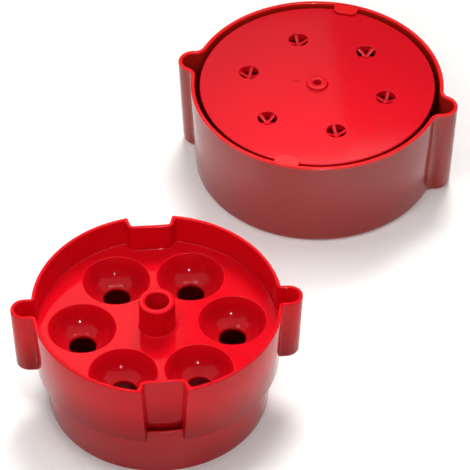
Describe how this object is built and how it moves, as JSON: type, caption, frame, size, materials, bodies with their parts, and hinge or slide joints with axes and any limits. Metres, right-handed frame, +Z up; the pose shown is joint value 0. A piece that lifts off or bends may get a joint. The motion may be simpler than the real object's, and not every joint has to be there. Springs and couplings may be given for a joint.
{
  "type": "egg cooker",
  "caption": "Stacking steam egg cooker: a round water bowl, an egg tray with a centre steam post and two ears, and a deep lid with a vented plate.",
  "frame": {"origin": "centre of the water bowl's flat underside, on the surface the object stands on", "axes": "+Z up along the axis of the bowl and tray, +X from the tray's centre towards one of its ears, +Y from front clip channel to back clip channel, towards the side where the upturned lid stands"},
  "size_m": [0.3649, 0.4495, 0.0997],
  "materials": {
    "bowl_red": "glossy red",
    "tray_red": "glossy red",
    "lid_red": "glossy red",
    "plate_red": "high gloss red"
  },
  "bodies": {
    "bowl": {"water_bowl": "bowl_red"},
    "tray": {"egg_tray": "tray_red"},
    "cover": {"lid": "lid_red"},
    "plate": {"vent_plate": "plate_red"}
  },
  "joints": [
    {"name": "tray_lift", "type": "slide", "parent": "bowl", "child": "tray", "axis": [0, 0, 1], "range_m": [0, 0.08]},
    {"name": "lid_lift", "type": "slide", "parent": "bowl", "child": "cover", "axis": [0, 0, 1], "range_m": [0, 0.12]},
    {"name": "plate_slide", "type": "slide", "parent": "cover", "child": "plate", "axis": [0, 0, -1], "range_m": [0, 0.052]}
  ]
}
